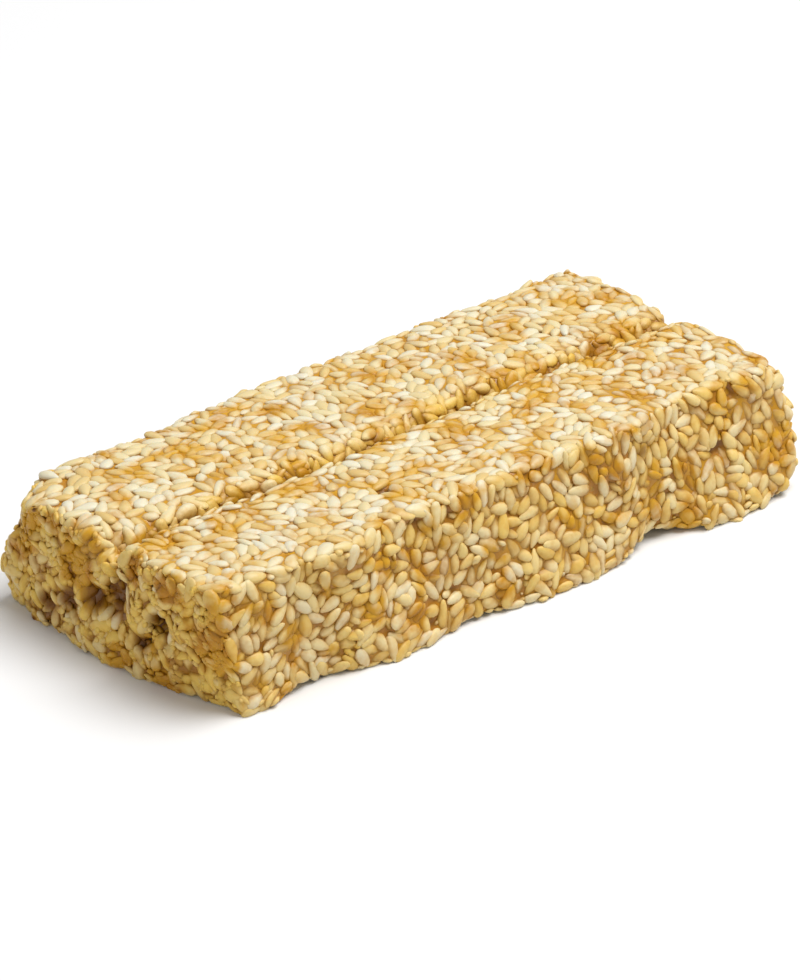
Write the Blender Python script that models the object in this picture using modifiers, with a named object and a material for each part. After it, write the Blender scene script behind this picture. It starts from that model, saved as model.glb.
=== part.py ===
"""A slab of sesame brittle: one baked bar, creased lengthwise into two fingers that never came apart.

X runs along the slab from its near end (-X) to its far end (+X), Y from its front side (-Y) to its back
side (+Y), and Z is up. It rests on its flat underside at Z = 0. Sizes are in millimetres until the mesh
is made.
"""

import math

import bmesh
import bpy
from mathutils import Vector, noise

MILLIMETRE = 0.001

LENGTH = 95.0
HEIGHT = 16.8
FRONT_TOP = -19.2  # the front top edge
BACK_TOP = 20.6  # the back top edge
FRONT_FOOT = -22.6  # the front side slopes out to its foot
BACK_FOOT = 21.6
FOOT_SPREAD = 0.028  # how much more the front foot stands out for each millimetre towards the far end

CREASE_Y = -0.9  # the crease's line at mid length
CREASE_TURN = 0.02  # it drifts this much across for each millimetre along
CREASE_SHARE = 0.47  # the front finger's share of the cage's width
CREASE_DEPTH = 3.0
CREASE_MOUTH_DEPTH = 5.0  # how much deeper it is at the near end
CREASE_MOUTH_REACH = 5.5
CREASE_LIP = 1.0  # the front finger's steep wall
CREASE_SLOPE = 4.5  # how far the back finger's rounded shoulder reaches
CREASE_MOUTH_SLOPE = 3.5

BACK_CROWN = 0.6  # how far the back finger rounds off towards its outer edge
NEAR_CORNER_DROP = 2.2  # its near corner has sunk
FAR_CORNER_DROP = 1.6  # and so has the front finger's far corner
FAR_BACK_RISE = 0.5

UNDERCUT = 3.0  # the near end leans in under the front finger
END_BULGE = 0.8  # the near end stands out a little below the crease
END_HOLLOW = 1.0  # and is hollow just under its mouth
FAR_SWELL = 0.9
FAR_DENT = 0.8
LUMP = 0.42  # the height of the surface's own unevenness
LUMP_SIZE = 7.0

# A wave along a long edge: where it is, how far it stands out (or, below zero, in), and how far it reaches.
FRONT_FOOT_WAVES = ((-35, -1.9, 4), (-22, 1.2, 6), (-10, -0.8, 4), (4, 1.4, 9), (22, -2.7, 3.8), (34, 0.9, 5))
FRONT_TOP_WAVES = ((-28, 1.7, 5), (-17, -0.8, 4), (-11, 0.8, 4), (19, 1.5, 5), (31, -1.4, 5))
BACK_WAVES = ((-30, -0.4, 8), (-5, 0.5, 9), (22, 0.4, 7), (38, -0.4, 6))
UNDERSIDE_LIFTS = ((-34, 1.0, 4), (-8, 0.5, 4), (22, 1.7, 5), (47, 1.0, 6))

# The cage's cuts, each as a share of the length, the width and the height.
CUTS_NEAR, CUTS_FAR = [0.012, 0.035, 0.065, 0.105], [0.87, 0.91, 0.95, 0.985]
CUTS_ALONG = CUTS_NEAR + [0.15 + 0.04 * step for step in range(18)] + CUTS_FAR
CUTS_ACROSS = (0.02, 0.09, 0.21, 0.33, 0.42, 0.445, 0.47, 0.485, 0.51, 0.56, 0.63, 0.75, 0.88, 0.97)
CUTS_UP = (0.05, 0.32, 0.63, 0.9)


def bell(value, centre, reach):
    return math.exp(-(((value - centre) / reach) ** 2))


def ramp(value, start, end):
    """0 at start and 1 at end, with a smooth way between."""
    share = min(max((value - start) / (end - start), 0.0), 1.0)
    return share * share * (3.0 - 2.0 * share)


def mix(low, high, share):
    return low + (high - low) * share


def waves(x, edge):
    return sum(height * bell(x, centre, reach) for centre, height, reach in edge)


def front_side(x, up):
    """The front side's Y: sloping out to its foot, with each edge's waves dying away towards mid height."""
    slope = mix(FRONT_FOOT - FOOT_SPREAD * x, FRONT_TOP, up)
    return slope - waves(x, FRONT_FOOT_WAVES) * (1.0 - up) ** 1.8 - waves(x, FRONT_TOP_WAVES) * up**1.8


def back_side(x, up):
    return mix(BACK_FOOT, BACK_TOP, up) + waves(x, BACK_WAVES)


def near_end(y, up):
    """The near end's X: broken off plumb at the back finger and leaning in under the front one."""
    lean = UNDERCUT * ramp(y, -5, -20) - END_BULGE * bell(y, 3, 9)
    hollow = END_HOLLOW * bell(y, 1.5, 5.5) * bell(up, 0.62, 0.16)
    return -0.5 * LENGTH + lean * (1.0 - up) ** 1.2 + hollow


def far_end(y, up):
    """The far end's X: swelling a little at half height, and dented where the crease leaves it."""
    return 0.5 * LENGTH + FAR_SWELL * bell(up, 0.35, 0.3) - FAR_DENT * bell(y, CREASE_Y, 3)


def crease_line(x):
    return CREASE_Y + CREASE_TURN * x + 0.5 * math.sin(x / 9.0)


def crease_drop(x, y):
    """How far the crease takes the top down: steep on the front side, a round shoulder on the back one."""
    off = y - crease_line(x)
    mouth = bell(x, -0.5 * LENGTH, CREASE_MOUTH_REACH)
    depth = CREASE_DEPTH + CREASE_MOUTH_DEPTH * mouth
    slope = CREASE_SLOPE + CREASE_MOUTH_SLOPE * mouth
    if off < 0:
        share = ramp(off, -CREASE_LIP, 0.0)
    else:
        share = 1.0 - math.sqrt(1.0 - max(0.0, 1.0 - off / slope) ** 2)
    return depth * share * (1.0 - 0.45 * ramp(x, 30, 47))


def top_height(x, y):
    """The top's Z: two nearly flat fingers, the back one rounding off at its outer edge and near corner."""
    crown = BACK_CROWN * ramp(y, 12, 20)
    near_corner = NEAR_CORNER_DROP * bell(x, -49, 5) * bell(y, 22, 7)
    far_corner = FAR_CORNER_DROP * bell(x, 49, 4.5) * bell(y, -21, 7)
    far_corner -= FAR_BACK_RISE * bell(x, 47, 8) * bell(y, 18, 8)
    return HEIGHT - crown - near_corner - far_corner - crease_drop(x, y)


def underside_height(x, y):
    """The underside's Z: flat, with its front rim curling up here and there."""
    rim = ramp(y, -15, -20)
    return rim * waves(x, UNDERSIDE_LIFTS)


def lumps(x, y, z):
    """A slow unevenness that fades out over the flat underside."""
    place = Vector((x, y, z)) / LUMP_SIZE
    return LUMP * noise.noise(place) * ramp(z, 0.0, 3.0)


def corner_pull(along, across, up):
    """How far each upright corner is drawn in towards the slab, so that the corners are round from above."""
    near, far = ramp(along, 0.05, 0.0), ramp(along, 0.95, 1.0)
    front, back = ramp(across, 0.1, 0.0), ramp(across, 0.9, 1.0)
    round_off = near * back * 2.4 + far * back * 0.6 + far * front * (1.9 - 1.9 * up) + near * front * 0.9
    bulge = near * back * 3.8 * bell(up, 0.38, 0.25) + far * front * 1.0 * bell(up, 0.35, 0.2)
    return round_off - bulge


def slab_point(along, across, up):
    """Where a point of the cage goes, given its share of the length, the width and the height."""
    x = (along - 0.5) * LENGTH
    if across < CREASE_SHARE:
        y = mix(front_side(x, up), crease_line(x), across / CREASE_SHARE)
    else:
        y = mix(crease_line(x), back_side(x, up), (across - CREASE_SHARE) / (1.0 - CREASE_SHARE))
    x = mix(near_end(y, up), far_end(y, up), along)
    z = mix(underside_height(x, y), top_height(x, y), up)
    pull = corner_pull(along, across, up)
    x -= pull * math.copysign(0.7, x)
    y -= pull * math.copysign(0.7, y)
    swell = lumps(x, y, z)
    outwards = Vector((along - 0.5, (across - 0.5) * 0.5, (up - 0.5) * 2.0)).normalized()
    return Vector((x, y, z)) + outwards * swell


def cut_cage(mesh, axis, shares):
    """Cuts the unit cube across one axis at each share of its side."""
    normal = [0.0, 0.0, 0.0]
    normal[axis] = 1.0
    for share in shares:
        place = [0.0, 0.0, 0.0]
        place[axis] = share - 0.5
        whole = mesh.verts[:] + mesh.edges[:] + mesh.faces[:]
        bmesh.ops.bisect_plane(mesh, geom=whole, dist=1e-6, plane_co=place, plane_no=normal)


def slab_cage():
    mesh = bmesh.new()
    bmesh.ops.create_cube(mesh, size=1.0)
    for axis, shares in enumerate((CUTS_ALONG, CUTS_ACROSS, CUTS_UP)):
        cut_cage(mesh, axis, shares)
    for vertex in mesh.verts:
        vertex.co = slab_point(*(vertex.co + Vector((0.5, 0.5, 0.5)))) * MILLIMETRE
    data = bpy.data.meshes.new("slab")
    mesh.to_mesh(data)
    mesh.free()
    return data


def brittle_material():
    """Pale seeds in amber sugar."""
    material = bpy.data.materials.new("brittle")
    material.use_nodes = True
    shader = material.node_tree.nodes["Principled BSDF"]
    shader.inputs["Base Color"].default_value = (0.72, 0.5, 0.22, 1.0)
    shader.inputs["Roughness"].default_value = 0.42
    shader.inputs["Metallic"].default_value = 0.0
    return material


def centre_on_underside(slab):
    """Moves the mesh so that the rounded slab's own box is centred over the origin and stands at Z = 0."""
    graph = bpy.context.evaluated_depsgraph_get()
    corners = [vertex.co for vertex in slab.evaluated_get(graph).data.vertices]
    low = Vector(min(corner[axis] for corner in corners) for axis in range(3))
    high = Vector(max(corner[axis] for corner in corners) for axis in range(3))
    shift = Vector((-(low.x + high.x) / 2, -(low.y + high.y) / 2, -low.z))
    for vertex in slab.data.vertices:
        vertex.co += shift


def make_slab(collection):
    slab = bpy.data.objects.new("slab", slab_cage())
    collection.objects.link(slab)
    slab.data.materials.append(brittle_material())
    rounding = slab.modifiers.new("rounding", "SUBSURF")
    rounding.levels = rounding.render_levels = 1
    slab.data.shade_smooth()
    centre_on_underside(slab)
    return slab


def main():
    for old in list(bpy.data.objects):
        bpy.data.objects.remove(old, do_unlink=True)
    collection = bpy.data.collections.new("sesame_brittle_slab")
    bpy.context.scene.collection.children.link(collection)
    make_slab(collection)


main()
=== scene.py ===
"""Sesame brittle: hulled seeds packed into the slab's skin, stuck in amber sugar over a sugar core.

Lengths are in metres, as in the frame. The slab's own sizes come from the frame, and the seeds' sizes are
named below. X runs along the slab from its broken near end (-X), Y across it from its front (-Y), Z is up.
"""

import math

import bmesh
import bpy
import numpy as np
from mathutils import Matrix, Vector
from mathutils.bvhtree import BVHTree
from mathutils.kdtree import KDTree
from mathutils.noise import noise as noise_at


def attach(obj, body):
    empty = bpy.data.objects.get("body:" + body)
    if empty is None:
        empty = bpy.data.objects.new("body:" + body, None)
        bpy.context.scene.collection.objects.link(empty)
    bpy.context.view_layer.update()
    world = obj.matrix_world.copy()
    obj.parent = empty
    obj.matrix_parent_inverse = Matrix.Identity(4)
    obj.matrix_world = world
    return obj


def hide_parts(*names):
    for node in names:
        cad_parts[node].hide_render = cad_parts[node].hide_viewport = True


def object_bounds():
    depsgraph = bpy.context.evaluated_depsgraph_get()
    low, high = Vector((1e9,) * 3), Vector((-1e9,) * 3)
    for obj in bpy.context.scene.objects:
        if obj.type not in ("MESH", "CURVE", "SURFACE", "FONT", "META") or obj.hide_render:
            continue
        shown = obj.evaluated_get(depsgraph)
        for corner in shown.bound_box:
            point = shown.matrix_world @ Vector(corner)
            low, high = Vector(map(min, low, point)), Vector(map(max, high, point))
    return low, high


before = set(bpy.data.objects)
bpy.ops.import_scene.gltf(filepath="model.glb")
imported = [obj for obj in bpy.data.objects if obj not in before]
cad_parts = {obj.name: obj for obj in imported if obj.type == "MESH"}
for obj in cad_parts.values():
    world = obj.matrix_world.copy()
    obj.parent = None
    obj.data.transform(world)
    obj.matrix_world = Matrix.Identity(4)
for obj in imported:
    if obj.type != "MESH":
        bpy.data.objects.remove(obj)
CAD_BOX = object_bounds()

MM = 0.001

SEED_LENGTH = 3.3 * MM
SEED_WIDTH = 1.74 * MM
SEED_THICKNESS = 1.0 * MM
SEED_COUNT = 8000
SEED_SPREAD = 0.1  # how much the seeds differ in size
SEED_TILT = 0.35  # how much they lean out of the face as they are sown
SEED_KINDS = {  # each shade's share of the seeds
    "ivory_seeds": 0.22,
    "cream_seeds": 0.23,
    "straw_seeds": 0.21,
    "golden_seeds": 0.2,
    "toasted_seeds": 0.14,
}

LAYER_DEPTHS = (0.5, 1.4, 2.2)  # in millimetres
LAYER_SHARES = (0.42, 0.36, 0.22)  # the share of the seeds sown at each depth
LAYER_SCATTER = 0.2  # in millimetres, up and down from a layer's depth
SETTLING_STEPS = 40
FILLING_WIDTHS = (1.0 * MM, 0.9 * MM, 0.8 * MM)  # the gaps filled with further seeds, widest first
FILLING_MOST = 700
FILLING_TRIES = 40000
FILLING_DEPTH = 0.6  # in millimetres
FILLING_SPACING = 1.4  # how far apart two of them are sown, against the gap's width
FILLING_STEPS = 12
BARE_DEPTH = 0.8 * MM  # a place with no seed this near the face counts as bare
SKIN_DEPTH = 2.5 * MM  # how deep the seeds reach under the slab's face
HIDDEN_DEPTH = 2.6 * MM  # a seed deeper than this never shows, and isn't made
CORE_DEPTH = {"flat": 1.25 * MM, "side": 1.45 * MM, "end": 2.1 * MM}  # how deep the sugar core lies
CORE_PASSES, CORE_EASE = 8, 0.7  # its face is drawn in by passes, each this share of the way left
SYRUP_VOXEL = 0.45 * MM
SYRUP_SLUMPS = 5
SYRUP_SINK = 0.2 * MM  # how far it shrinks back between the seeds as it sets
SYRUP_WAVE = 3.0 * MM
SYRUP_WAVE_HEIGHT = 0.25 * MM
SYRUP_END_SINK = 0.14 * MM  # it lies lower and rougher on the broken near end
SYRUP_GRAIN = 1.1 * MM
SYRUP_GRAIN_HEIGHT = 0.45 * MM

CREASE_SEARCH = (-6.0 * MM, 5.0 * MM)  # the crease between the two fingers lies between these
CREASE_DROP = 1.3 * MM  # how much lower the seeds lie along it
CREASE_REACH = 1.6 * MM
# how far the crease's sugar and its painted shade reach to either side
CREASE_SUGAR_AND_SHADE_REACH = 2.2 * MM
RECESSES = (  # hollows where seeds have broken out: each one's place, reach and depth, in millimetres
    ((-47.6, 8.8, 5.6), 1.6, 2.2),
    ((-47.4, 4.1, 7.4), 1.7, 2.4),
    ((-46.6, 0.6, 8.6), 1.9, 2.4),
    ((-46.4, -7.3, 8.4), 1.5, 2.2),
    ((-46.5, -4.6, 4.6), 1.3, 1.4),
    ((-48.0, 13.0, 3.6), 1.4, 1.5),
    ((-46.0, 17.0, 10.4), 1.0, 1.4),
    ((-45.6, 13.2, 13.5), 1.1, 1.3),
    ((-19.9, -20.4, 11.6), 1.2, 1.6),
    ((21.4, -20.4, 13.0), 1.3, 1.8),
)
HOLE_REACH = 1.1 * MM  # no seed is left this near the middle of a recess
BROKEN_OUT = {"flat": 0.0, "side": 0.02, "end": 0.05}  # the share of the outer seeds missing besides
OUTER_DEPTH = 1.0 * MM  # only seeds nearer the face than this break out
CRUMB_COUNT = 1100
CRUMB_TRIES = 40  # places tried for each crumb, since most of them aren't on the near end
CRUMB_FACING = -0.5  # how squarely a place faces the near end, -1 being straight at it
CRUMB_DEPTH = 0.6  # in millimetres, the deepest
CRUMB_HOLLOW = 0.9 * MM  # no crumbs stick where the bed lies this far under the slab's face
CRUMB = {
    "Length": 1.1 * MM,
    "Width": 0.9 * MM,
    "Thickness": 0.65 * MM,
    "Point": 0.25,
    "Wrinkle": 0.3 * MM,
    "Sides": 6,
    "Rings": 5,
}
ROUGHNESS_SIZE = 2.6 * MM
ROUGHNESS = {"flat": 0.16 * MM, "side": 0.5 * MM, "end": 1.0 * MM}  # how far the bed rises and falls


def depth_grid_points(low, step, shape):
    axes = [low[axis] + step * np.arange(shape[axis]) for axis in range(3)]
    return np.stack(np.meshgrid(*axes, indexing="ij"), axis=-1).reshape(-1, 3)


def crease_line(tree, low, high):
    """Places along the crease: the lowest point of the top near its middle, at each step along the slab."""
    line, margin, above = [], 1.5 * MM, high[2] + 10 * MM
    for along in np.arange(low[0] + margin, high[0] - margin, 1.0 * MM):
        heights = {}
        for across in np.arange(*CREASE_SEARCH, 0.25 * MM):
            hit = tree.ray_cast(Vector((along, across, above)), Vector((0, 0, -1)))[0]
            heights[across] = hit.z
        across = min(heights, key=heights.get)
        line.append((along, across, heights[across]))
    return np.array(line)


def bell(distance, reach):
    return np.exp(-(distance / reach) ** 2)


def nearness(points, places, reach):
    """1 at the nearest of the places, falling off in a bell over the reach."""
    tree = KDTree(len(places))
    for index, place in enumerate(places):
        tree.insert(place, index)
    tree.balance()
    return bell(np.array([tree.find(point)[2] for point in points]), reach)


def distance_to(place, points):
    """How far each point is from a place given in millimetres."""
    return np.linalg.norm(points - np.array(place) * MM, axis=1)


def waves_at(points, size):
    """Smooth random rises and falls, about -1 to 1, at each point."""
    return np.array([noise_at(Vector(point) / size) for point in points])


def by_side(amounts, out):
    """The flat, side and end amounts blended by which way each point faces."""
    out = np.abs(out)
    return amounts["flat"] * out[:, 2] + amounts["side"] * out[:, 1] + amounts["end"] * out[:, 0]


def add_attribute(mesh, name, kind, values):
    layer = mesh.attributes.new(name, kind, "POINT")
    key = "vector" if kind == "FLOAT_VECTOR" else "value"
    layer.data.foreach_set(key, np.ascontiguousarray(values).reshape(-1))


class SlabDepth:
    """How deep any point lies under the seeds' bed, and which way is out, read off a grid of samples."""

    STEP = 0.7 * MM
    MARGIN = 2.1 * MM
    INSET = 1.001  # keeps a place just inside the last sample

    def __init__(self, tree, low, high):
        self.low = np.array(low) - self.MARGIN
        self.shape = tuple(np.ceil((np.array(high) + self.MARGIN - self.low) / self.STEP).astype(int) + 1)
        self.places = depth_grid_points(self.low, self.STEP, self.shape)
        self.set_depths(np.array([self.sample(tree, point) for point in self.places]))

    def set_depths(self, depths):
        self.depths = depths.reshape(self.shape)
        self.slopes = np.stack(np.gradient(self.depths, self.STEP), axis=-1)

    def roughen(self, crease):
        """Lowers the bed along the crease and in the recesses, and makes it uneven, most at the ends."""
        drop = CREASE_DROP * nearness(self.places, crease, CREASE_REACH)
        for place, reach, depth in RECESSES:
            drop += depth * MM * bell(distance_to(place, self.places), reach * MM)
        height = by_side(ROUGHNESS, self.outwards(self.places))
        self.set_depths(self.depths.reshape(-1) - drop + height * waves_at(self.places, ROUGHNESS_SIZE))

    @staticmethod
    def sample(tree, point):
        near, normal, _, distance = tree.find_nearest(point)
        return distance if (near - Vector(point)).dot(normal) > 0 else -distance

    def blend(self, grid, points):
        """The grid's values between its samples, at each point."""
        place = (points - self.low) / self.STEP
        place = np.clip(place, 0.0, np.array(self.shape) - self.INSET)
        corner = place.astype(int)
        share = place - corner
        total = 0.0
        for step in np.ndindex(2, 2, 2):
            weight = np.prod(np.where(step, share, 1.0 - share), axis=1)
            x, y, z = (corner + step).T
            value = grid[x, y, z]
            total = total + (value * weight if value.ndim == 1 else value * weight[:, None])
        return total

    def depth(self, points):
        return self.blend(self.depths, points)

    def outwards(self, points):
        slope = -self.blend(self.slopes, points)
        return slope / np.maximum(np.linalg.norm(slope, axis=1, keepdims=True), 1e-9)


def merged_copy(obj, name):
    """A copy of a CAD node's mesh with its loose triangles joined up."""
    mesh = bmesh.new()
    mesh.from_mesh(obj.data)
    bmesh.ops.remove_doubles(mesh, verts=mesh.verts, dist=1e-6)
    data = bpy.data.meshes.new(name)
    mesh.to_mesh(data)
    mesh.free()
    return data


def surface_tree(mesh):
    return BVHTree.FromPolygons([v.co for v in mesh.vertices], [p.vertices for p in mesh.polygons])


def vertex_array(mesh):
    flat = np.empty(len(mesh.vertices) * 3)
    mesh.vertices.foreach_get("co", flat)
    return flat.reshape(-1, 3)


# --- laying the seeds -------------------------------------------------------------------------------------

# The balls that stand for a seed while the seeds settle. Each has its place along and across the seed, as
# shares of the seed's half length and half width, and its radius as a share of the seed's thickness.
SEED_BALLS = np.array([
    (0.66, 0.0, 0.36),
    (0.32, -0.2, 0.44),
    (0.32, 0.2, 0.44),
    (-0.18, -0.42, 0.48),
    (-0.18, 0.42, 0.48),
    (-0.62, 0.0, 0.46),
])
TOUCHING = 1.15 * MM  # balls further apart than this never touch
PAIRING_STEPS = 4  # the pairs are looked for anew every so many steps
SKIN_FIT = 0.95  # how much of a ball's radius stays under the bed's face
SHIFT_GAIN = 1.3
TURN_GAIN = 1.1
LEAST_PRESSING, FLAT_PRESSING, SIDE_PRESSING = 0.02, 0.10, 0.02
SUNK_RISE = 0.05 * MM  # how far a seed under the skin rises at each step
OUTER_RISE = 0.03 * MM  # how far one of the outer seeds does
OUTER_LAYER = 1.4  # in millimetres: the seeds nearer the face than this count as outer


def unit(vectors):
    return vectors / np.maximum(np.linalg.norm(vectors, axis=-1, keepdims=True), 1e-12)


def scatter_points(mesh, count, random):
    """Random places on the mesh, even over its area."""
    mesh.calc_loop_triangles()
    corners = np.empty(len(mesh.loop_triangles) * 3, int)
    mesh.loop_triangles.foreach_get("vertices", corners)
    triangles = vertex_array(mesh)[corners.reshape(-1, 3)]
    edge_a, edge_b = triangles[:, 1] - triangles[:, 0], triangles[:, 2] - triangles[:, 0]
    area = np.linalg.norm(np.cross(edge_a, edge_b), axis=1)
    chosen = random.choice(len(area), count, p=area / area.sum())
    along, across = random.random((2, count, 1))
    fold = along + across > 1
    along, across = np.where(fold, 1 - along, along), np.where(fold, 1 - across, across)
    return triangles[chosen, 0] + edge_a[chosen] * along + edge_b[chosen] * across


def close_pairs(points, reach):
    """Every pair of points that may be nearer than reach, by sorting them into cells."""
    cells = np.floor((points - points.min(0)) / reach).astype(np.int64) + 1
    wide = cells.max(0) + 2
    strides = np.array([wide[1] * wide[2], wide[2], 1])
    keys = cells @ strides
    order = np.argsort(keys, kind="stable")
    keys = keys[order]
    first, second = [], []
    for step in np.ndindex(3, 3, 3):
        shift = (np.array(step) - 1) @ strides
        if shift < 0:
            continue
        start = np.searchsorted(keys, keys + shift, "left")
        stop = np.searchsorted(keys, keys + shift, "right")
        if shift == 0:
            start = np.arange(len(keys)) + 1
        count = np.maximum(stop - start, 0)
        one = np.repeat(np.arange(len(keys)), count)
        offset = np.arange(count.sum()) - np.repeat(np.cumsum(count) - count, count)
        first.append(order[one])
        second.append(order[np.repeat(start, count) + offset])
    return np.concatenate(first), np.concatenate(second)


def gather(index, values, size):
    """The sum of each row of values by its index."""
    return np.stack([np.bincount(index, values[:, axis], size) for axis in range(3)], axis=1)


def pressing(face):
    """How hard the outer seeds were rolled flat: the top and underside most, the broken ends least."""
    return LEAST_PRESSING + FLAT_PRESSING * np.abs(face[:, 2]) ** 2 + SIDE_PRESSING * np.abs(face[:, 1])


class Seeds:
    """Seeds as they settle: centres, long axes, flat sides' normals and sizes."""

    def __init__(self, mesh, field, random):
        self.mesh, self.field, self.random = mesh, field, random
        self.centres = self.long = self.flat = self.size = np.empty((0, 3))

    def add(self, face, depths):
        """Lays one seed under each point of the face, at its depth in millimetres."""
        count, random = len(face), self.random
        out = self.field.outwards(face)
        flat = unit(out + SEED_TILT * random.normal(size=(count, 3)))
        long = unit(np.cross(flat, random.normal(size=(count, 3))))
        size = 1.0 + SEED_SPREAD * random.normal(size=(count, 3)).clip(-2, 2)
        self.centres = np.concatenate([self.centres, face - out * (depths * MM)[:, None]])
        self.long, self.flat = np.concatenate([self.long, long]), np.concatenate([self.flat, flat])
        self.size = np.concatenate([self.size, size])

    def sow(self, count):
        layer = self.random.choice(LAYER_DEPTHS, count, p=LAYER_SHARES)
        layer = layer + self.random.uniform(-LAYER_SCATTER, LAYER_SCATTER, count)
        self.add(scatter_points(self.mesh, count, self.random), layer)

    def fill_gaps(self, most, width):
        """Lays further seeds where the face is bare of them over the width given."""
        arms, _ = self.balls()
        points = (self.centres[:, None] + arms).reshape(-1, 3)
        points = points[self.field.depth(points) < BARE_DEPTH]
        taken = KDTree(len(points))
        for index, point in enumerate(points):
            taken.insert(point, index)
        taken.balance()
        bare, spacing = [], FILLING_SPACING * width
        for point in scatter_points(self.mesh, FILLING_TRIES, self.random):
            if taken.find(point)[2] < width:
                continue
            if all((point - other) @ (point - other) > spacing**2 for other in bare):
                bare.append(point)
            if len(bare) == most:
                break
        if bare:
            self.add(np.array(bare), np.full(len(bare), FILLING_DEPTH))

    def square_up(self):
        """Makes the long axes and the flat sides' normals unit length and square to each other."""
        self.flat = unit(self.flat)
        self.long = unit(self.long - self.flat * (self.long * self.flat).sum(1, keepdims=True))

    def balls(self):
        """The balls' arms from each centre, and their radii."""
        half = np.array([SEED_LENGTH, SEED_WIDTH, SEED_THICKNESS]) / 2 * self.size
        side = np.cross(self.flat, self.long)
        along = SEED_BALLS[:, 0] * half[:, :1]
        across = SEED_BALLS[:, 1] * half[:, 1:2]
        arms = along[..., None] * self.long[:, None] + across[..., None] * side[:, None]
        radii = SEED_BALLS[:, 2] * 2 * half[:, 2:3]
        return arms, radii

    def pushes(self, arms, radii, pairs):
        """How far the other seeds' balls and the bed's face push each ball, and how many of them do."""
        points = (self.centres[:, None] + arms).reshape(-1, 3)
        radii = radii.reshape(-1)
        one, two = pairs
        gap = points[one] - points[two]
        distance = np.linalg.norm(gap, axis=1)
        overlap = radii[one] + radii[two] - distance
        hit = overlap > 0
        push = gap[hit] / np.maximum(distance[hit], 1e-7)[:, None] * (0.5 * overlap[hit])[:, None]
        moves = gather(one[hit], push, len(points)) - gather(two[hit], push, len(points))
        touches = np.bincount(one[hit], minlength=len(points))
        touches = touches + np.bincount(two[hit], minlength=len(points))
        proud = radii * SKIN_FIT - self.field.depth(points)
        moves -= self.field.outwards(points) * np.maximum(proud, 0)[:, None]
        return moves, touches + (proud > 0)

    def near_pairs(self, points):
        """The pairs of balls on different seeds that may touch."""
        owner = np.repeat(np.arange(len(self.centres)), len(SEED_BALLS))
        one, two = close_pairs(points, TOUCHING)
        apart = owner[one] != owner[two]
        return one[apart], two[apart]

    def settle(self, steps):
        """Pushes overlapping seeds apart and back under the bed's face, and presses the outer ones flat."""
        per = len(SEED_BALLS)
        for step in range(steps):
            arms, radii = self.balls()
            if step % PAIRING_STEPS == 0:
                pairs = self.near_pairs((self.centres[:, None] + arms).reshape(-1, 3))
            moves, touches = self.pushes(arms, radii, pairs)
            moves = (moves / np.maximum(touches, 1)[:, None]).reshape(-1, per, 3)
            active = np.maximum((touches.reshape(-1, per) > 0).sum(1), 1)[:, None]
            shift = SHIFT_GAIN * moves.sum(1) / active
            turn = np.cross(arms, moves).sum(1) / (arms**2).sum((1, 2))[:, None] * TURN_GAIN
            depth = self.field.depth(self.centres)
            face = self.field.outwards(self.centres)
            sunk = np.clip((depth - SKIN_DEPTH) / MM, 0, 1)
            shift += face * (SUNK_RISE * sunk)[:, None]
            outer = np.clip(OUTER_LAYER - depth / MM, 0, 1)
            shift += face * (OUTER_RISE * outer)[:, None]
            side = np.sign((self.flat * face).sum(1, keepdims=True))
            turn += np.cross(self.flat * side, face) * (outer * pressing(face))[:, None]
            self.centres = self.centres + shift
            self.long = self.long + np.cross(turn, self.long)
            self.flat = self.flat + np.cross(turn, self.flat)
            self.square_up()


def broken_out(seeds, random):
    """Which seeds are missing: those in the recesses, and a few of the outer ones, mostly at the ends."""
    depths = seeds.field.depth(seeds.centres)
    share = by_side(BROKEN_OUT, seeds.field.outwards(seeds.centres))
    gone = (random.random(len(depths)) < share) & (depths < OUTER_DEPTH)
    for place, _, _ in RECESSES:
        gone |= distance_to(place, seeds.centres) < HOLE_REACH
    return gone


def lay_seeds(skin, field, random):
    """Sows the seeds, and lets them settle and fill each other's gaps."""
    seeds = Seeds(skin, field, random)
    seeds.sow(SEED_COUNT)
    seeds.settle(SETTLING_STEPS)
    for width in FILLING_WIDTHS:
        seeds.fill_gaps(FILLING_MOST, width)
        seeds.settle(FILLING_STEPS)
    return seeds


def kinds_of(seeds, random):
    """The seeds that show, shared out at random over the kinds."""
    shown = (seeds.field.depth(seeds.centres) < HIDDEN_DEPTH) & ~broken_out(seeds, random)
    order = random.permutation(np.flatnonzero(shown))
    cuts = np.cumsum([round(share * len(order)) for share in SEED_KINDS.values()])[:-1]
    return zip(SEED_KINDS, np.split(order, cuts))


def near_end_crumbs(skin, field, random):
    """Chips of seed and sugar sticking to the broken near end."""
    crumbs = Seeds(skin, field, random)
    places = scatter_points(skin, CRUMB_TRIES * CRUMB_COUNT, random)
    hollow = field.depth(places) < -CRUMB_HOLLOW
    at_end = field.outwards(places)[:, 0] < CRUMB_FACING
    places = places[~hollow & at_end][:CRUMB_COUNT]
    crumbs.add(places, random.uniform(0.0, CRUMB_DEPTH, len(places)) - field.depth(places) / MM)
    return crumbs


# --- node graphs ------------------------------------------------------------------------------------------


class Value:
    """A node's output that Python can reckon with: each operator adds a Math node."""

    def __init__(self, graph, socket):
        self.graph, self.socket = graph, socket

    def math(self, operation, *values, clamp=False):
        inputs = dict(enumerate(values))
        return self.graph.add("ShaderNodeMath", {"operation": operation, "use_clamp": clamp}, inputs)

    def __add__(self, other):
        return self.math("ADD", self, other)

    def __sub__(self, other):
        return self.math("SUBTRACT", self, other)

    def __rsub__(self, other):
        return self.math("SUBTRACT", other, self)

    def __mul__(self, other):
        return self.math("MULTIPLY", self, other)

    def __truediv__(self, other):
        return self.math("DIVIDE", self, other)

    __radd__, __rmul__ = __add__, __mul__

    def clamped(self):
        return self.math("ADD", self, 0.0, clamp=True)

    def between(self, low, high):
        """0 at low and 1 at high, and no further."""
        return ((self - low) / (high - low)).clamped()


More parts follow.
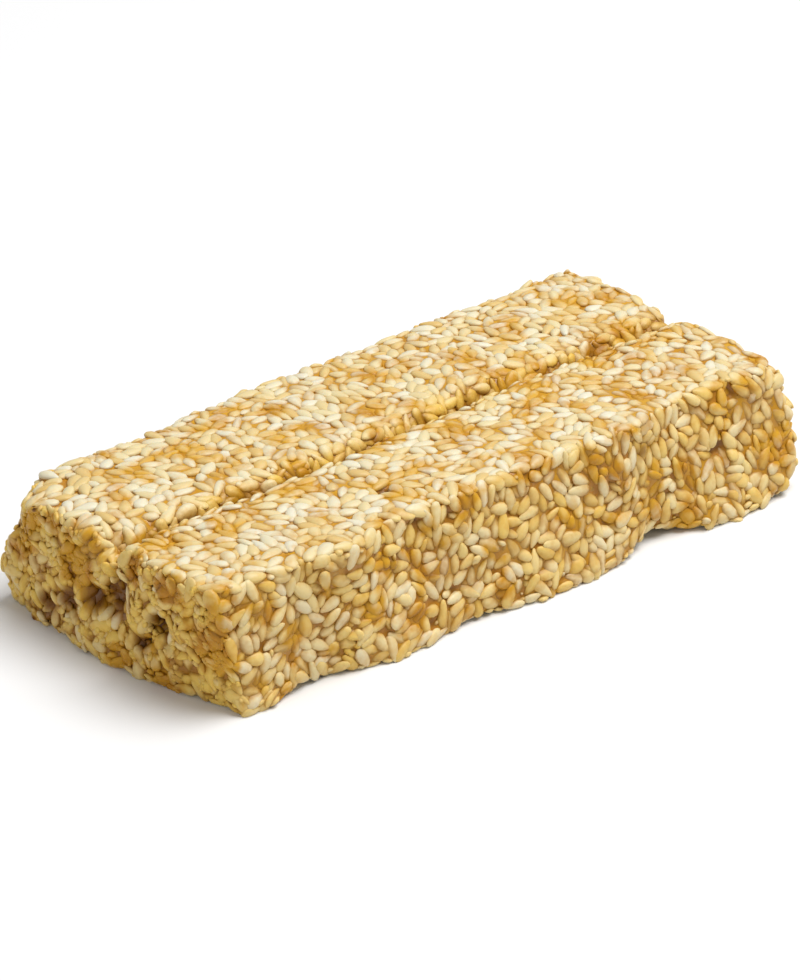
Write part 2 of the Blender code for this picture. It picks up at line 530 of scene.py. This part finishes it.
class Graph:
    """Adds nodes to a tree: their settings first, then the values or links of their sockets."""

    def __init__(self, tree):
        self.tree = tree

    def add(self, kind, settings=None, inputs=None, output=0):
        node = self.tree.nodes.new(kind)
        for name, value in (settings or {}).items():
            setattr(node, name, value)
        for name, value in (inputs or {}).items():
            self.plug(node.inputs[name], value)
        return Value(self, node.outputs[output])

    def plug(self, socket, value):
        if isinstance(value, Value):
            self.tree.links.new(value.socket, socket)
        elif value is not None:
            socket.default_value = value


# --- the seeds' shapes ------------------------------------------------------------------------------------

SEED_SIZES = {  # the tree's inputs: Point is how far a seed narrows towards its tip
    "Length": ("NodeSocketFloat", SEED_LENGTH),
    "Width": ("NodeSocketFloat", SEED_WIDTH),
    "Thickness": ("NodeSocketFloat", SEED_THICKNESS),
    "Point": ("NodeSocketFloat", 0.32),
    "Bend": ("NodeSocketFloat", 0.1),
    "Wrinkle": ("NodeSocketFloat", 0.07 * MM),
    "Sides": ("NodeSocketInt", 8),
    "Rings": ("NodeSocketInt", 7),
    "Material": ("NodeSocketMaterial", None),
}
SEED_SHAPES = ((1.0, -0.6), (0.75, 0.9), (1.3, 0.3))  # how pointed and how bent each is, against the sizes
WRINKLES_PER_METRE = 900.0
WAIST = 0.52  # half the width, with a little over for the eight flat sides
FLAT_TAPER = 0.6  # the thickness tapers less than the width


def seed_tree():
    """A Geometry Nodes tree that stands a teardrop seed on every point it is given."""
    tree = bpy.data.node_groups.new("sown_seeds", "GeometryNodeTree")
    face = tree.interface
    face.new_socket("Geometry", in_out="INPUT", socket_type="NodeSocketGeometry")
    face.new_socket("Geometry", in_out="OUTPUT", socket_type="NodeSocketGeometry")
    for name, (kind, value) in SEED_SIZES.items():
        socket = face.new_socket(name, in_out="INPUT", socket_type=kind)
        if value is not None:
            socket.default_value = value
    graph = Graph(tree)
    entry = tree.nodes.new("NodeGroupInput")
    size = {socket.name: Value(graph, socket) for socket in entry.outputs if socket.name}

    ball = graph.add("GeometryNodeMeshUVSphere", None, {"Segments": size["Sides"], "Rings": size["Rings"]})
    laid = graph.add("GeometryNodeTransform", None, {"Geometry": ball, "Rotation": (0.0, math.pi / 2, 0.0)})
    place = graph.add("GeometryNodeInputPosition")
    x = graph.add("ShaderNodeSeparateXYZ", None, {0: place}, "X")
    y = graph.add("ShaderNodeSeparateXYZ", None, {0: place}, "Y")
    z = graph.add("ShaderNodeSeparateXYZ", None, {0: place}, "Z")
    shapes = graph.add("GeometryNodeGeometryToInstance")
    for pointed, bent in SEED_SHAPES:
        taper = 1.0 - x * size["Point"] * pointed
        side = y * taper * size["Width"] * WAIST
        up = z * (1.0 - x * size["Point"] * (FLAT_TAPER * pointed)) * size["Thickness"] * 0.5
        curl = x * x * size["Bend"] * size["Thickness"] * bent
        parts = {"X": x * size["Length"] * 0.5, "Y": side, "Z": up + curl}
        point = graph.add("ShaderNodeCombineXYZ", None, parts)
        shape = graph.add("GeometryNodeSetPosition", None, {"Geometry": laid, "Position": point})
        tree.links.new(shape.socket, shapes.socket.node.inputs[0])

    def read(name, data_type):
        return graph.add("GeometryNodeInputNamedAttribute", {"data_type": data_type}, {"Name": name})

    sown = graph.add("GeometryNodeInstanceOnPoints", None, {
        "Points": size["Geometry"],
        "Instance": shapes,
        "Pick Instance": True,
        "Instance Index": read("shape", "INT"),
        "Rotation": graph.add("FunctionNodeEulerToRotation", None, {0: read("turn", "FLOAT_VECTOR")}),
        "Scale": read("size", "FLOAT_VECTOR"),
    })
    whole = graph.add("GeometryNodeRealizeInstances", None, {"Geometry": sown})
    wrinkles = {"Vector": place, "Scale": WRINKLES_PER_METRE, "Detail": 1.0}
    rough = graph.add("ShaderNodeTexNoise", None, wrinkles)
    height = (rough - 0.5) * 2.0 * size["Wrinkle"]
    facing = graph.add("GeometryNodeInputNormal")
    rise = graph.add("ShaderNodeVectorMath", {"operation": "SCALE"}, {0: facing, "Scale": height})
    worn = graph.add("GeometryNodeSetPosition", None, {"Geometry": whole, "Offset": rise})
    smooth = graph.add("GeometryNodeSetShadeSmooth", None, {"Geometry": worn})
    painted = graph.add("GeometryNodeSetMaterial", None, {"Geometry": smooth, "Material": size["Material"]})
    leave = tree.nodes.new("NodeGroupOutput")
    tree.links.new(painted.socket, leave.inputs[0])
    return tree


def run_nodes(obj, tree, values):
    """Runs a Geometry Nodes tree on an object with its inputs set, and returns the plain mesh it makes."""
    modifier = obj.modifiers.new("making", "NODES")
    modifier.node_group = tree
    for item in tree.interface.items_tree:
        if item.in_out == "INPUT" and item.name in values:
            modifier[item.identifier] = values[item.name]
    graph = bpy.context.evaluated_depsgraph_get()
    shown = obj.evaluated_get(graph)
    mesh = bpy.data.meshes.new_from_object(shown, preserve_all_data_layers=True, depsgraph=graph)
    obj.modifiers.remove(modifier)
    return mesh


def show(name, mesh):
    obj = bpy.data.objects.new(name, mesh)
    bpy.context.scene.collection.objects.link(obj)
    return obj


def seed_turns(seeds, chosen):
    """The XYZ Euler turn of each chosen seed, whose X is its long axis and Z its flat side."""
    long, flat = seeds.long[chosen], seeds.flat[chosen]
    side = np.cross(flat, long)
    about_x = np.arctan2(side[:, 2], flat[:, 2])
    about_y = -np.arcsin(np.clip(long[:, 2], -1, 1))
    about_z = np.arctan2(long[:, 1], long[:, 0])
    return np.stack([about_x, about_y, about_z], axis=1)


def seed_points(seeds, chosen, random):
    """A vertex for each chosen seed, with its turn, size, shape and tone."""
    mesh = bpy.data.meshes.new("seed_points")
    mesh.vertices.add(len(chosen))
    mesh.vertices.foreach_set("co", seeds.centres[chosen].reshape(-1))
    add_attribute(mesh, "turn", "FLOAT_VECTOR", seed_turns(seeds, chosen))
    add_attribute(mesh, "size", "FLOAT_VECTOR", seeds.size[chosen])
    add_attribute(mesh, "shape", "INT", random.integers(0, len(SEED_SHAPES), len(chosen)))
    add_attribute(mesh, "tone", "FLOAT", random.random(len(chosen)))
    return mesh


def grow_seeds(name, seeds, chosen, tree, looks, random):
    """One piece: a seed of the tree's shape in the place of each chosen one."""
    obj = show(name, seed_points(seeds, chosen, random))
    points = obj.data
    obj.data = run_nodes(obj, tree, looks)
    bpy.data.meshes.remove(points)
    obj.data.name = name
    obj.data.materials.clear()
    obj.data.materials.append(looks["Material"])
    return obj


# --- the sugar --------------------------------------------------------------------------------------------


def core_mesh(skin, field):
    """The slab's face drawn in to the depth of the solid sugar."""
    data = skin.copy()
    points = vertex_array(data)
    for _ in range(CORE_PASSES):
        out = field.outwards(points)
        short = by_side(CORE_DEPTH, out) - field.depth(points)
        points = points - out * short[:, None] * CORE_EASE
    data.vertices.foreach_set("co", points.reshape(-1))
    return data


def fuse_with_seeds(core, seed_objects):
    """An object of the core and the seeds run together, its hollows filled by slumping."""
    mesh = bmesh.new()
    mesh.from_mesh(core)
    for obj in seed_objects:
        mesh.from_mesh(obj.data)
    data = bpy.data.meshes.new("amber_sugar")
    mesh.to_mesh(data)
    mesh.free()
    obj = show("amber_sugar", data)
    fuse = obj.modifiers.new("fuse", "REMESH")
    fuse.mode, fuse.voxel_size, fuse.adaptivity = "VOXEL", SYRUP_VOXEL, 0.0
    slump = obj.modifiers.new("slump", "SMOOTH")
    slump.factor, slump.iterations = 0.5, SYRUP_SLUMPS
    graph = bpy.context.evaluated_depsgraph_get()
    made = bpy.data.meshes.new_from_object(obj.evaluated_get(graph))
    obj.modifiers.clear()
    obj.data = made
    made.name = "amber_sugar"
    return obj


def pour_syrup(skin, field, seed_objects):
    """Sugar round the seeds, shrunk back until their crowns stand clear."""
    obj = fuse_with_seeds(core_mesh(skin, field), seed_objects)
    made = obj.data
    points, normals = vertex_array(made), np.empty(len(made.vertices) * 3)
    made.vertices.foreach_get("normal", normals)
    normals = normals.reshape(-1, 3)
    waves = waves_at(points, SYRUP_WAVE)
    end = np.clip(-field.outwards(points)[:, 0], 0, 1)
    sink = SYRUP_SINK + SYRUP_WAVE_HEIGHT * waves + SYRUP_END_SINK * end
    sink += SYRUP_GRAIN_HEIGHT * end * waves_at(points, SYRUP_GRAIN)
    made.vertices.foreach_set("co", (points - normals * sink[:, None]).reshape(-1))
    made.shade_smooth()
    return obj


# --- what the finishes read -------------------------------------------------------------------------------


def clearance(mesh, stuck):
    """How far each vertex stands clear of the syrup, in millimetres, below zero where it is under it."""
    heights = []
    for vertex in mesh.vertices:
        near, normal, _, distance = stuck.find_nearest(vertex.co)
        heights.append(math.copysign(distance, (vertex.co - near).dot(normal)) / MM)
    return heights


def sugar_and_shade_at(points, field, crease):
    """How thickly the sugar lies at each point, 0 to 1, with painted shade in the same amount: most in the
    crease and near end, middling on the sides, least on the lit top.
    """
    out = field.outwards(points)
    near_end = np.clip(-out[:, 0], 0, 1) ** 2
    sides = np.clip(np.abs(out[:, 1]) + np.clip(out[:, 0], 0, 1), 0, 1)
    in_crease = nearness(points, crease, CREASE_SUGAR_AND_SHADE_REACH)
    return np.clip(0.9 * in_crease + 0.5 * sides + 0.95 * near_end, 0, 1)


def hollowness(points):
    """How near each point is to the bottom of a recess, 0 to 1."""
    most = np.zeros(len(points))
    for place, reach, _ in RECESSES:
        most = np.maximum(most, bell(distance_to(place, points), reach * MM))
    return most


# --- finishes ---------------------------------------------------------------------------------------------

COLOUR_A, COLOUR_B, COLOUR_RESULT = 6, 7, 2  # a Mix node's colour sockets, whose names others share

# How many of each pattern's waves there are to a metre.
GRAINS = 1300.0
SEED_PATCHES = 200.0
SEED_SPOTS = 260.0
SEED_MOTTLES = 1400.0
SYRUP_PATCHES = 220.0
GRAIN_HEIGHT = 0.22 * MM

# Sugar's colours, from where it lies thin to where it is thick and burnt; the burnt brown is also painted
# shade deep between the seeds and in the recesses.
GLAZED_FLESH = (0.72, 0.485, 0.10, 1.0)
GOLD_SUGAR = (0.58, 0.31, 0.02, 1.0)
AMBER_SUGAR = (0.43, 0.18, 0.008, 1.0)
BURNT_SUGAR_AND_SHADE = (0.16, 0.058, 0.004, 1.0)

SEED_FLESH = {  # each kind's palest and deepest flesh
    "ivory_seeds": ((0.68, 0.64, 0.50, 1), (0.67, 0.62, 0.45, 1)),
    "cream_seeds": ((0.67, 0.61, 0.43, 1), (0.67, 0.59, 0.39, 1)),
    "straw_seeds": ((0.67, 0.58, 0.36, 1), (0.66, 0.56, 0.32, 1)),
    "golden_seeds": ((0.66, 0.55, 0.31, 1), (0.65, 0.51, 0.25, 1)),
    "toasted_seeds": ((0.64, 0.49, 0.22, 1), (0.61, 0.42, 0.16, 1)),
    "crumbs": ((0.73, 0.56, 0.28, 1), (0.61, 0.39, 0.10, 1)),
}


def new_material(name):
    material = bpy.data.materials.new(name)
    material.use_nodes = True
    graph = Graph(material.node_tree)
    return material, graph, material.node_tree.nodes["Principled BSDF"].inputs


def blend_colours(graph, share, low, high):
    """The low colour where the share is 0 and the high one where it is 1."""
    inputs = {"Factor": share, COLOUR_A: low, COLOUR_B: high}
    return graph.add("ShaderNodeMix", {"data_type": "RGBA"}, inputs, COLOUR_RESULT)


def attribute(graph, name):
    return graph.add("ShaderNodeAttribute", {"attribute_name": name}, None, "Fac")


def noise(graph, scale, detail):
    place = graph.add("ShaderNodeTexCoord", None, None, "Object")
    return graph.add("ShaderNodeTexNoise", None, {"Vector": place, "Scale": scale, "Detail": detail}, 0)


def grain(graph, amount):
    """A bump of fine sugar grains, amount 0 to 1."""
    height = noise(graph, GRAINS, 2.0) * amount
    inputs = {"Height": height, "Strength": 1.0, "Distance": GRAIN_HEIGHT}
    return graph.add("ShaderNodeBump", None, inputs)


def seed_material(name, pale, deep):
    """Seed flesh: pale at the crown, filmed with golden sugar lower down, brown at its foot, the brown
    partly painted shade.
    """
    material, graph, shader = new_material(name)
    # The sugar's amount read here also carries painted shade for the crease, the sides and the near end.
    tone, clear, sugar_and_shade = (attribute(graph, layer) for layer in ("tone", "clear", "sugar_and_shade"))
    # Nearness to a recess's bottom darkens the seed: partly burnt sugar, partly painted shade.
    hollow = attribute(graph, "hollow").between(0.15, 0.7)
    patches = noise(graph, SEED_PATCHES, 2.0).between(0.52, 0.64)
    spots = noise(graph, SEED_SPOTS, 1.0).between(0.45, 0.62)
    mottle = noise(graph, SEED_MOTTLES, 2.0) - 0.5
    # The film of sugar is thickest low on the seed, in its own patches and in the recesses; in the
    # recesses, the crease and on the near end it also paints shade.
    low = 1.0 - clear.between(0.0, 0.42)
    film = 0.95 * low + (0.6 + 0.4 * sugar_and_shade) * patches + 0.4 * sugar_and_shade + hollow + 0.7 * mottle - 0.34
    plain = blend_colours(graph, tone, pale, deep)
    flesh = blend_colours(graph, sugar_and_shade * (0.5 + 0.8 * tone), plain, GLAZED_FLESH)
    sugar = blend_colours(graph, (spots * 0.6 + sugar_and_shade * 0.3).clamped(), GOLD_SUGAR, AMBER_SUGAR)
    golden = blend_colours(graph, film.clamped(), flesh, sugar)
    # The foot is where the seed goes down into the syrup: amber sugar, turned burnt brown as painted shade
    # in the crease, on the near end and in the recesses.
    foot = (1.0 - clear.between(-0.14, 0.14 + 0.14 * sugar_and_shade) + hollow).clamped()
    dark = blend_colours(graph, (sugar_and_shade.between(-0.3, 0.6) + hollow).clamped(), AMBER_SUGAR, BURNT_SUGAR_AND_SHADE)
    graph.plug(shader["Base Color"], blend_colours(graph, foot, golden, dark))
    graph.plug(shader["Normal"], grain(graph, 0.12 + 0.5 * sugar_and_shade * sugar_and_shade))
    shader["Roughness"].default_value = 0.38
    shader["Specular IOR Level"].default_value = 0.24
    shader["Subsurface Weight"].default_value = 0.12
    shader["Subsurface Radius"].default_value = (1.0, 0.6, 0.3)
    shader["Subsurface Scale"].default_value = 0.4 * MM
    return material


def syrup_material():
    """Set sugar: golden where it stands high, burnt where it lies deep between the seeds; the darkening
    with depth, in the recesses, the crease and on the near end is partly painted shade.
    """
    material, graph, shader = new_material("amber_sugar")
    sunk, sugar_and_shade, hollow = (attribute(graph, layer) for layer in ("sunk", "sugar_and_shade", "hollow"))
    patches = noise(graph, SYRUP_PATCHES, 3.0).between(0.38, 0.62)
    # Amber and then burnt brown as the sugar lies deeper: partly thicker sugar, partly painted shade
    # between the seeds, in the recesses, the crease and on the near end.
    amber = (0.45 * patches + sunk.between(0.1, 0.5) + sugar_and_shade * 0.6).clamped()
    deep = (sunk.between(0.45, 1.1) + sugar_and_shade * 0.5 + hollow * 2.0).clamped()
    golden = blend_colours(graph, amber, GOLD_SUGAR, AMBER_SUGAR)
    graph.plug(shader["Base Color"], blend_colours(graph, deep, golden, BURNT_SUGAR_AND_SHADE))
    graph.plug(shader["Normal"], grain(graph, 0.5))
    shader["Roughness"].default_value = 0.3
    shader["Specular IOR Level"].default_value = 0.35
    return material


# --- the studio -------------------------------------------------------------------------------------------

CAMERA_TURN, CAMERA_RISE = math.radians(-42.0), math.radians(27.0)
CAMERA_DISTANCE = 0.6
CAMERA_LENS, CAMERA_SENSOR = 176.1, 36.0
SLAB_MIDDLE = Vector((0.0, 0.0, 8.2 * MM))
CAMERA_ASIDE, CAMERA_DOWN = 1.38 * MM, 0.67 * MM  # how far left of and under the middle it aims
FLOOR_GREY = 0.76
FLOOR_REACH = 3.0
WORLD_STRENGTH = 0.38
LIGHTS = {  # the way to each light, its distance and width, and its watts
    "key": ((0.34, -0.26, 1.0), 1.0, 0.8, 12.5),
    "fill": ((-1.0, -0.2, 0.4), 1.0, 0.6, 1.2),
}


def view_back(turn, rise):
    """The way from the slab to a camera turned and raised by these angles."""
    return Vector((math.sin(turn) * math.cos(rise), -math.cos(turn) * math.cos(rise), math.sin(rise)))


def place_camera():
    back = view_back(CAMERA_TURN, CAMERA_RISE)
    right = Vector((math.cos(CAMERA_TURN), math.sin(CAMERA_TURN), 0.0))
    up = back.cross(right)
    target = SLAB_MIDDLE - right * CAMERA_ASIDE - up * CAMERA_DOWN
    data = bpy.data.cameras.new("camera")
    data.lens, data.sensor_width, data.clip_start = CAMERA_LENS, CAMERA_SENSOR, 0.01
    camera = show("camera", data)
    camera.location = target + back * CAMERA_DISTANCE
    camera.rotation_euler = (-back).to_track_quat("-Z", "Y").to_euler()
    bpy.context.scene.camera = camera


def soft_light(name, towards, distance, size, watts):
    data = bpy.data.lights.new(name, "AREA")
    data.shape, data.size, data.energy = "DISK", size, watts
    lamp = show(name, data)
    lamp.location = Vector(towards).normalized() * distance
    lamp.rotation_euler = Vector(towards).to_track_quat("Z", "Y").to_euler()


def lay_floor():
    mesh = bmesh.new()
    bmesh.ops.create_grid(mesh, x_segments=1, y_segments=1, size=FLOOR_REACH)
    data = bpy.data.meshes.new("floor")
    mesh.to_mesh(data)
    mesh.free()
    floor = show("floor", data)
    material, _, shader = new_material("floor")
    shader["Base Color"].default_value = (FLOOR_GREY, FLOOR_GREY, FLOOR_GREY, 1.0)
    shader["Roughness"].default_value = 0.9
    data.materials.append(material)


def light_studio():
    world = bpy.data.worlds.new("studio")
    world.use_nodes = True
    background = world.node_tree.nodes["Background"].inputs
    background["Color"].default_value = (1.0, 1.0, 1.0, 1.0)
    background["Strength"].default_value = WORLD_STRENGTH
    bpy.context.scene.world = world
    bpy.context.scene.view_settings.view_transform = "Standard"
    for name, light in LIGHTS.items():
        soft_light(name, *light)


# --- making it all ----------------------------------------------------------------------------------------

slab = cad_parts["slab"]
skin = merged_copy(slab, "skin")
tree = surface_tree(skin)
field = SlabDepth(tree, *CAD_BOX)
crease = crease_line(tree, *CAD_BOX)
field.roughen(crease)
random = np.random.default_rng(11)
grow = seed_tree()
seeds = lay_seeds(skin, field, random)
pieces = []
for name, chosen in kinds_of(seeds, random):
    looks = {"Material": seed_material(name, *SEED_FLESH[name])}
    pieces.append(grow_seeds(name, seeds, chosen, grow, looks, random))
syrup = pour_syrup(skin, field, pieces)
syrup.data.materials.append(syrup_material())
crumbs = near_end_crumbs(skin, field, random)
looks = {**CRUMB, "Material": seed_material("crumbs", *SEED_FLESH["crumbs"])}
pieces.append(grow_seeds("crumbs", crumbs, np.arange(len(crumbs.centres)), grow, looks, random))

stuck = surface_tree(syrup.data)
for piece in [syrup, *pieces]:
    points = vertex_array(piece.data)
    add_attribute(piece.data, "sugar_and_shade", "FLOAT", sugar_and_shade_at(points, field, crease))
    add_attribute(piece.data, "hollow", "FLOAT", hollowness(points))
for piece in pieces:
    add_attribute(piece.data, "clear", "FLOAT", clearance(piece.data, stuck))
    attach(piece, "root")
add_attribute(syrup.data, "sunk", "FLOAT", field.depth(vertex_array(syrup.data)) / MM)
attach(syrup, "root")
for piece in [syrup, *pieces]:
    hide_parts("slab")
bpy.data.meshes.remove(skin)

lay_floor()
light_studio()
place_camera()
